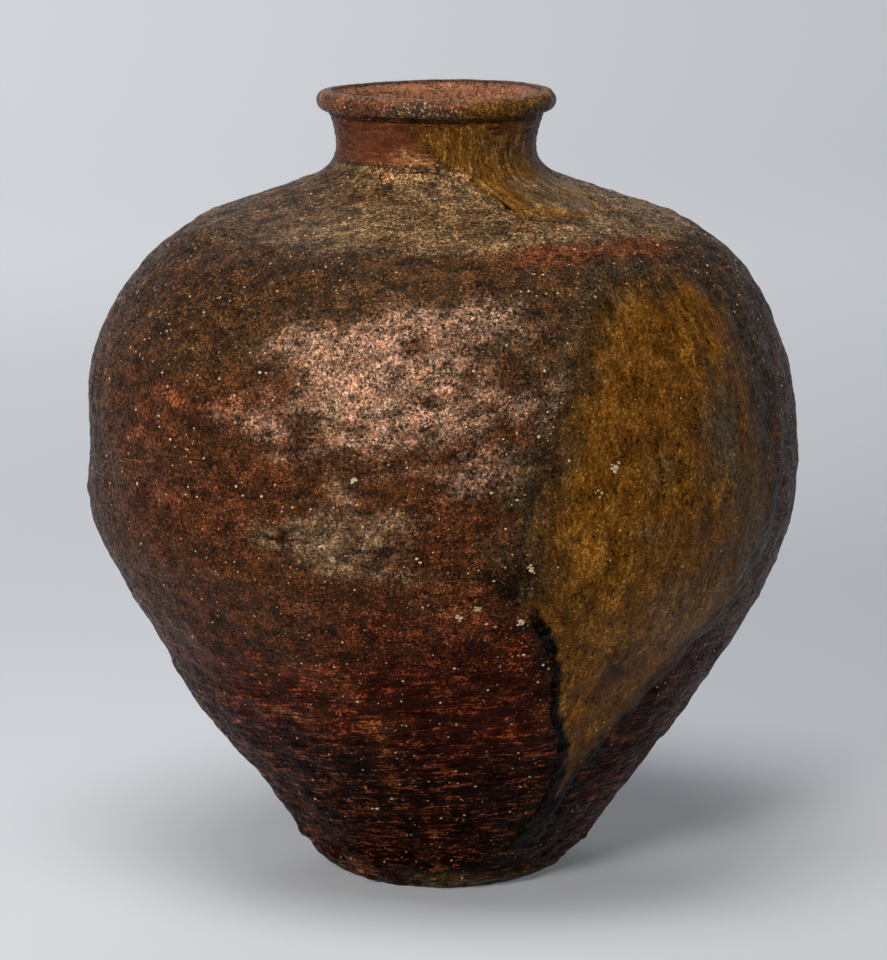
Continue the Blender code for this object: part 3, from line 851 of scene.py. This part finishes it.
def make_stones(name, grains, material):
    """Grains half sunk in the clay, as one mesh. A grain is a bearing in degrees, a level and a radius."""
    seed = bmesh.new()
    bmesh.ops.create_icosphere(seed, subdivisions=2, radius=1.0)
    ball = np.array([vert.co for vert in seed.verts])
    faces = np.array([[vert.index for vert in face.verts] for face in seed.faces])
    seed.free()
    bearing, level, size = (np.array(values, dtype=float) for values in zip(*grains))
    bearing = np.radians(bearing)
    flat = turned(bearing, outer_radius(level), level)
    centre = on_wall(bearing, level, relief(bearing, level, flat))
    out, up = outward(level)
    normal = np.stack((out * np.sin(bearing), -out * np.cos(bearing), up), axis=-1)
    along = np.stack((np.cos(bearing), np.sin(bearing), 0 * bearing), axis=-1)
    across = np.cross(normal, along)
    lumpy = 1 + 0.35 * noise(ball[None] + centre[:, None] * 900, 1.1, 70)
    local = ball[None] * lumpy[..., None] * size[:, None, None] * np.array((1.15, 0.9, 0.4))
    points = centre[:, None] + local[..., :1] * along[:, None] + local[..., 1:2] * across[:, None]
    points = points + local[..., 2:] * normal[:, None]
    mesh = bpy.data.meshes.new(name)
    all_faces = faces[None] + len(ball) * np.arange(len(grains))[:, None, None]
    mesh.from_pydata(points.reshape(-1, 3), [], all_faces.reshape(-1, 3))
    mesh.shade_smooth()
    return add_piece(name, mesh, None, material)


def scattered_spots(count, seed):
    """Spots spread evenly over the wall's outside, mostly small."""
    rng = np.random.default_rng(seed)
    levels = np.linspace(0.022, 0.428, 400)
    radius = outer_radius(levels)
    share = np.cumsum(radius * np.hypot(np.gradient(radius), np.gradient(levels)))
    level = np.interp(rng.random(count), share / share[-1], levels)
    size = 0.00032 + 0.00062 * rng.random(count) ** 3
    bearing = rng.uniform(-180, 180, count)
    flat = turned(np.radians(bearing), outer_radius(level), level)
    kept = noise(flat, 0.045, 75) + rng.uniform(-0.7, 0.7, count) > 0.0
    return list(zip(bearing[kept], level[kept], size[kept]))


def crumbled(stones, seed):
    """Each large stone as a handful of crumbs that lie close together."""
    rng = np.random.default_rng(seed)
    crumbs = []
    for bearing, level, size in stones:
        for _ in range(CRUMBS):
            aside, up = rng.normal(0.0, 0.55 * size, 2)
            turn = degrees(aside / float(outer_radius(level)))
            crumbs.append((bearing + turn, level + up, size * rng.uniform(0.22, 0.5)))
    return crumbs


def paint(red, green, blue):
    """A colour given as it shows on a screen, 0 to 255, as the shaders need it."""
    shown = (red / 255, green / 255, blue / 255)
    linear = (c / 12.92 if c <= 0.04045 else ((c + 0.055) / 1.055) ** 2.4 for c in shown)
    return (*linear, 1.0)


class Recipe:
    """One material's nodes. Each method adds a node and returns the socket that carries its result."""

    def __init__(self, name):
        self.material = bpy.data.materials.new(name)
        self.material.use_nodes = True
        self.nodes = self.material.node_tree.nodes
        self.links = self.material.node_tree.links
        self.shader = self.nodes["Principled BSDF"]
        self.place = self.nodes.new("ShaderNodeTexCoord").outputs["Object"]

    def add(self, kind, inputs, output=0, **settings):
        """Adds a node with these settings, fills its inputs and returns one of its outputs."""
        node = self.nodes.new("ShaderNode" + kind)
        for name, value in settings.items():
            setattr(node, name, value)
        for name, value in inputs.items():
            self.join(value, node.inputs[name])
        return node.outputs[output]

    def join(self, value, socket):
        if isinstance(value, bpy.types.NodeSocket):
            self.links.new(value, socket)
        else:
            socket.default_value = value

    def field(self, name, output="Fac"):
        return self.add("Attribute", {}, output, attribute_name=name)

    def stretched(self, aside, up):
        """Places on the unrolled jar, on which a pattern is drawn out where a scale is less than 1."""
        return self.add("Mapping", {"Vector": self.field("unrolled", "Vector"), "Scale": (aside, aside, up)})

    def noise(self, size, detail=2.0, rough=0.5, place=None):
        inputs = {"Scale": 1 / size, "Detail": detail, "Roughness": rough, "Vector": place or self.place}
        return self.add("TexNoise", inputs, "Fac")

    def streaks(self, size, detail, rough, aside, up=1.0):
        return self.noise(size, detail, rough, self.stretched(aside, up))

    def cells(self, size, output="Distance", place=None):
        return self.add("TexVoronoi", {"Scale": 1 / size, "Vector": place or self.place}, output)

    def maths(self, kind, a, b=0.0, c=0.0):
        return self.add("Math", {0: a, 1: b, 2: c}, operation=kind)

    def plus(self, a, b):
        return self.maths("ADD", a, b)

    def minus(self, a, b):
        return self.maths("SUBTRACT", a, b)

    def times(self, a, b):
        return self.maths("MULTIPLY", a, b)

    def times_plus(self, a, b, c):
        return self.maths("MULTIPLY_ADD", a, b, c)

    def seen(self):
        """1 for rays that show the backdrop or its reflection, 0 for those that light the object."""
        kinds = ("Is Camera Ray", "Is Glossy Ray", "Is Transmission Ray")
        camera, glossy, through = (self.add("LightPath", {}, kind) for kind in kinds)
        return self.maths("MAXIMUM", self.maths("MAXIMUM", camera, glossy), through)

    def span(self, value, low, high, to_low=0.0, to_high=1.0):
        """A soft step from one value to another."""
        inputs = {0: value, 1: low, 2: high, 3: to_low, 4: to_high}
        return self.add("MapRange", inputs, interpolation_type="SMOOTHSTEP")

    def mix_values(self, share, first, second):
        return self.add("Mix", {0: share, 2: first, 3: second})

    def mix(self, share, first, second, blend="MIX"):
        return self.add("Mix", {0: share, 6: first, 7: second}, 2, data_type="RGBA", blend_type=blend)

    def scattered(self, zone, grainy):
        """A zone's field, whose edges break up into grains."""
        grains = self.times_plus(self.minus(grainy, 0.5), 3.0, 1.0)
        return self.span(self.times(self.field(zone), grains), 0.0, 0.98)

    def shaded(self, colour, by):
        """A colour multiplied by another colour, or by a value around 1."""
        return self.mix(1.0, colour, by, "MULTIPLY")

    def bumped(self, *layers):
        """The normal of a surface raised by one layer on another. A layer is a field and its depth."""
        inputs = {}
        for height, depth in layers:
            inputs.update(Height=height, Distance=depth)
            inputs["Normal"] = self.add("Bump", inputs)
        return inputs["Normal"]

    def finish(self, colour, rough, normal, **settings):
        settings.update(Base_Color=colour, Roughness=rough, Normal=normal)
        for name, value in settings.items():
            self.join(value, self.shader.inputs[name.replace("_", " ")])
        return self.material


def painted(colours, gain):
    """A zone's colours for the shaders, with the last, the tint of its shine, times the gain."""
    *surface, (*tint, _) = (paint(*colour) for colour in colours)
    return [*surface, (*(min(1.0, gain * c) for c in tint), 1.0)]


def zone_tones(r, tones, chains, grainy, gain):
    """The pits', body's, flecks' and shine's colours, with each zone's own mixed in by its field."""
    for zone, *colours in tones:
        share = r.scattered(zone, grainy)
        chains = [r.mix(share, chain, colour) for chain, colour in zip(chains, painted(colours, gain))]
    return chains


def make_clay(name, shine):
    """Fired clay: sand grains, each with its own tone, with paler flecks and specks among them."""
    r = Recipe(name)
    lined = r.field("lined")
    # The painted sheen's share, which also makes the bumps stronger there
    painted_sheen_share = r.field("painted_sheen")
    grain_drawn = r.cells(GRAIN, "Color", r.stretched(0.42, 1.0))
    grain_tone = r.mix_values(lined, r.cells(GRAIN, "Color"), grain_drawn)
    grain_edge = r.cells(GRAIN)
    coarse = r.noise(0.0028, 5.0, 0.75)
    medium = r.noise(0.012, 4.0, 0.65)
    drawn = r.streaks(0.0018, 4.0, 0.65, 0.08)
    swept = r.streaks(0.0026, 4.0, 0.7, 0.5)
    mottled = r.streaks(0.008, 5.0, 0.68, 0.5)
    fine = r.plus(r.times(grain_tone, 0.42), r.times(coarse, 0.58))
    along = r.mix_values(r.field("shoulder"), drawn, swept)
    plain = r.minus(1.0, painted_sheen_share)
    share = r.times_plus(lined, 0.36, r.times(plain, 0.2))
    mixed = r.mix_values(share, fine, along)
    mixed = r.times_plus(r.minus(medium, 0.5), 0.34, mixed)
    gain = SHINE / shine
    start = painted(CLAY_TONES_START, gain)
    pit, body, fleck, tint = zone_tones(r, CLAY_TONES, start, coarse, gain)
    clean = r.plus(r.plus(lined, r.field("shoulder")), r.field("amber"))
    rusty = r.minus(r.span(r.cells(0.0023, "Color"), 0.35, 0.6), clean)
    fleck = r.mix(r.maths("MAXIMUM", rusty, 0.0), fleck, r.shaded(fleck, (0.88, 0.6, 0.45, 1.0)))
    colour = r.mix(r.span(mixed, 0.38, 0.47), pit, body)
    colour = r.mix(r.span(mixed, 0.54, 0.62), colour, fleck)
    lights = r.span(mottled, 0.32, 0.68, 0.52, 1.58)
    calm = r.times(lined, r.times_plus(r.field("neck"), -0.75, 1.0))
    lights = r.mix_values(r.field("neck"), lights, 1.0)
    colour = r.shaded(colour, r.mix_values(calm, lights, r.span(drawn, 0.32, 0.68, 0.45, 1.65)))
    holes = r.times(r.span(r.cells(0.0034), 0.2, 0.1), r.span(r.noise(0.022, 3.0), 0.5, 0.6))
    colour = r.mix(r.times(holes, 0.8), colour, pit)
    dots = r.times_plus(r.field("shoulder"), -0.025, r.cells(0.0027))
    sparse = r.times(r.span(dots, 0.16, 0.09), r.span(medium, 0.46, 0.58))
    colour = r.mix(sparse, colour, r.mix(0.5, fleck, paint(170, 124, 78)))
    luck = r.times(r.maths("POWER", r.cells(0.0046, "Color"), 4.0), 0.2)
    near = r.minus(r.times_plus(coarse, 0.1, r.cells(0.0046)), luck)
    colour = r.mix(r.span(near, 0.1, 0.06), colour, paint(206, 176, 130))
    rough = r.span(mixed, 0.38, 0.6, 0.56, 0.28)
    dome = r.times(grain_tone, r.minus(1.0, grain_edge))
    strong = r.times_plus(painted_sheen_share, 0.9, 0.7)
    normal = r.bumped(
        (medium, 0.0026),
        (mottled, 0.0022),
        (r.times(drawn, lined), 0.0016),
        (r.times(coarse, strong), 0.0014),
        (r.times(dome, strong), 0.0007),
    )
    return r.finish(colour, rough, normal, Specular_IOR_Level=shine, Specular_Tint=tint)


def make_glass():
    """Natural ash glaze: olive to amber glass, streaked where it ran, black where it is thick."""
    r = Recipe("ash_glaze")
    grain_tone = r.cells(GRAIN, "Color")
    streak = r.streaks(0.006, 4.0, 0.7, 1.0, 0.2)
    dash = r.streaks(0.002, 3.0, 0.68, 1.0, 0.5)
    mottled = r.streaks(0.0085, 5.0, 0.68, 1.0, 0.45)
    medium = r.noise(0.012, 5.0, 0.68)
    broad = r.noise(0.05, 3.0, 0.6)
    mixed = r.plus(r.times(grain_tone, 0.18), r.times(dash, 0.36))
    mixed = r.plus(mixed, r.times(streak, 0.26))
    mixed = r.plus(mixed, r.times(medium, 0.2))
    share = r.plus(r.times(broad, 0.5), r.times(streak, 0.3))
    share = r.span(r.times_plus(medium, 0.2, share), 0.46, 0.55)
    start = [r.mix(share, paint(*amber), paint(*brown)) for amber, brown in zip(GLASS_AMBER, GLASS_BROWN)]
    start[-1] = r.shaded(start[-1], (*(GLASS_GAIN,) * 3, 1.0))
    pit, body, fleck, tint = zone_tones(r, GLASS_TONES, start, dash, GLASS_GAIN)
    colour = r.mix(r.span(mixed, 0.4, 0.47), pit, body)
    colour = r.mix(r.span(mixed, 0.52, 0.59), colour, fleck)
    colour = r.shaded(colour, r.span(mottled, 0.33, 0.67, 0.62, 1.42))
    clear_of_run = r.minus(1.0, r.field("run"))
    luck = r.times(r.maths("POWER", r.cells(0.006, "Color"), 4.0), 0.14)
    specks = r.span(r.minus(r.cells(0.006), luck), 0.05, 0.01)
    colour = r.mix(r.times(specks, clear_of_run), colour, paint(196, 166, 110))
    rough = r.mix_values(r.field("run"), r.span(mixed, 0.4, 0.6, 0.36, 0.18), 0.25)
    normal = r.bumped(
        (medium, 0.0016),
        (streak, 0.0006),
        (r.times(dash, clear_of_run), 0.0005),
        (r.times(grain_tone, clear_of_run), 0.0002),
    )
    return r.finish(colour, rough, normal, Specular_IOR_Level=0.06, Specular_Tint=tint)


def make_feldspar():
    """Pale grains of feldspar, fired to a milky crust."""
    r = Recipe("feldspar")
    milky = r.noise(0.0012, 3.0, 0.6)
    colour = r.mix(r.span(milky, 0.35, 0.65), paint(128, 104, 72), paint(212, 192, 154))
    return r.finish(colour, 0.5, r.bumped((milky, 0.0003)))


def make_stage():
    """A plain pale bowl: a wide floor that curves up to a low wall all round."""
    turn = np.radians(np.linspace(0, 90, 19))[1:]
    flat = np.linspace(0.02, FLOOR_RADIUS, 40)
    wall = FLOOR_RADIUS + FLOOR_CURVE
    radius = np.concatenate((flat, FLOOR_RADIUS + FLOOR_CURVE * np.sin(turn), (wall,)))
    height = np.concatenate((0 * flat, FLOOR_CURVE * (1 - np.cos(turn)), (WALL_HEIGHT,)))
    bearing = -np.linspace(0, 2 * pi, 97)[None, :-1]
    mesh = grid_mesh("floor", turned(bearing, radius[:, None], height[:, None]), wrap_rows=False)
    floor = add_object("floor", mesh)
    r = Recipe("floor_paper")
    away = r.add("VectorMath", {0: r.place}, "Value", operation="LENGTH")
    glow = r.span(away, 0.4, 3.2, GLOW_NEAR, GLOW_FAR)
    # Painted light: the glow is brighter on the left than on the right, as where the key lamp falls
    aside = r.span(r.add("SeparateXYZ", {0: r.place}, "X"), -1.2, 1.2, 1.1, 0.75)
    strength = r.times(r.times(glow, aside), r.seen())
    grain = r.bumped((r.noise(0.004), 0.00002))
    glowing = {"Emission_Color": paint(247, 250, 255), "Emission_Strength": strength}
    mesh.materials.append(r.finish(paint(190, 195, 203), 0.9, grain, **glowing))


def add_lamp(name, at, size, power, tint, spread, aim):
    """A soft box lamp, with a grid that keeps its light within spread degrees."""
    light = bpy.data.lights.new(name, "AREA")
    light.shape = "RECTANGLE"
    light.size, light.size_y = size
    light.energy = power
    light.color = tint
    light.spread = radians(spread)
    lamp = add_object(name, light)
    lamp.location = at
    lamp.rotation_euler = (Vector(aim) - Vector(at)).to_track_quat("-Z", "Y").to_euler()


def make_lights():
    world = bpy.data.worlds.new("studio")
    world.use_nodes = True
    world.node_tree.nodes["Background"].inputs["Color"].default_value = (0.95, 0.98, 1.0, 1.0)
    world.node_tree.nodes["Background"].inputs["Strength"].default_value = 0.07
    bpy.context.scene.world = world
    for lamp in LAMPS:
        add_lamp(*lamp)


def make_camera():
    data = bpy.data.cameras.new("camera")
    data.sensor_width = SENSOR
    data.lens = CAMERA_LENS
    camera = add_object("camera", data)
    camera.location = CAMERA_AT
    camera.rotation_euler = Euler((radians(90 - CAMERA_DOWN), 0, 0))
    bpy.context.scene.camera = camera


def main():
    bpy.context.scene.view_settings.view_transform = "Standard"
    clays = {name: make_clay(name, shine) for name, shine in CLAY_SHINES.items()}
    glass = make_glass()
    make_base(clays["trodden_clay"])
    make_walls(clays)
    make_rim(clays["drawn_clay"])
    make_glaze("glaze_sheet_glass", "glaze_sheet", SHEET, sheet_runs, (RUN_LEFT, RUN_RIGHT), glass)
    make_glaze("glaze_collar_glass", "glaze_collar", COLLAR, collar_runs, (COLLAR_LINE,), glass)
    feldspar = make_feldspar()
    make_stones("feldspar_grains", scattered_spots(GRAINS_TRIED, 5), feldspar)
    make_stones("feldspar_stones", crumbled(BIG_STONES, 6), feldspar)
    make_stage()
    make_lights()
    make_camera()


main()
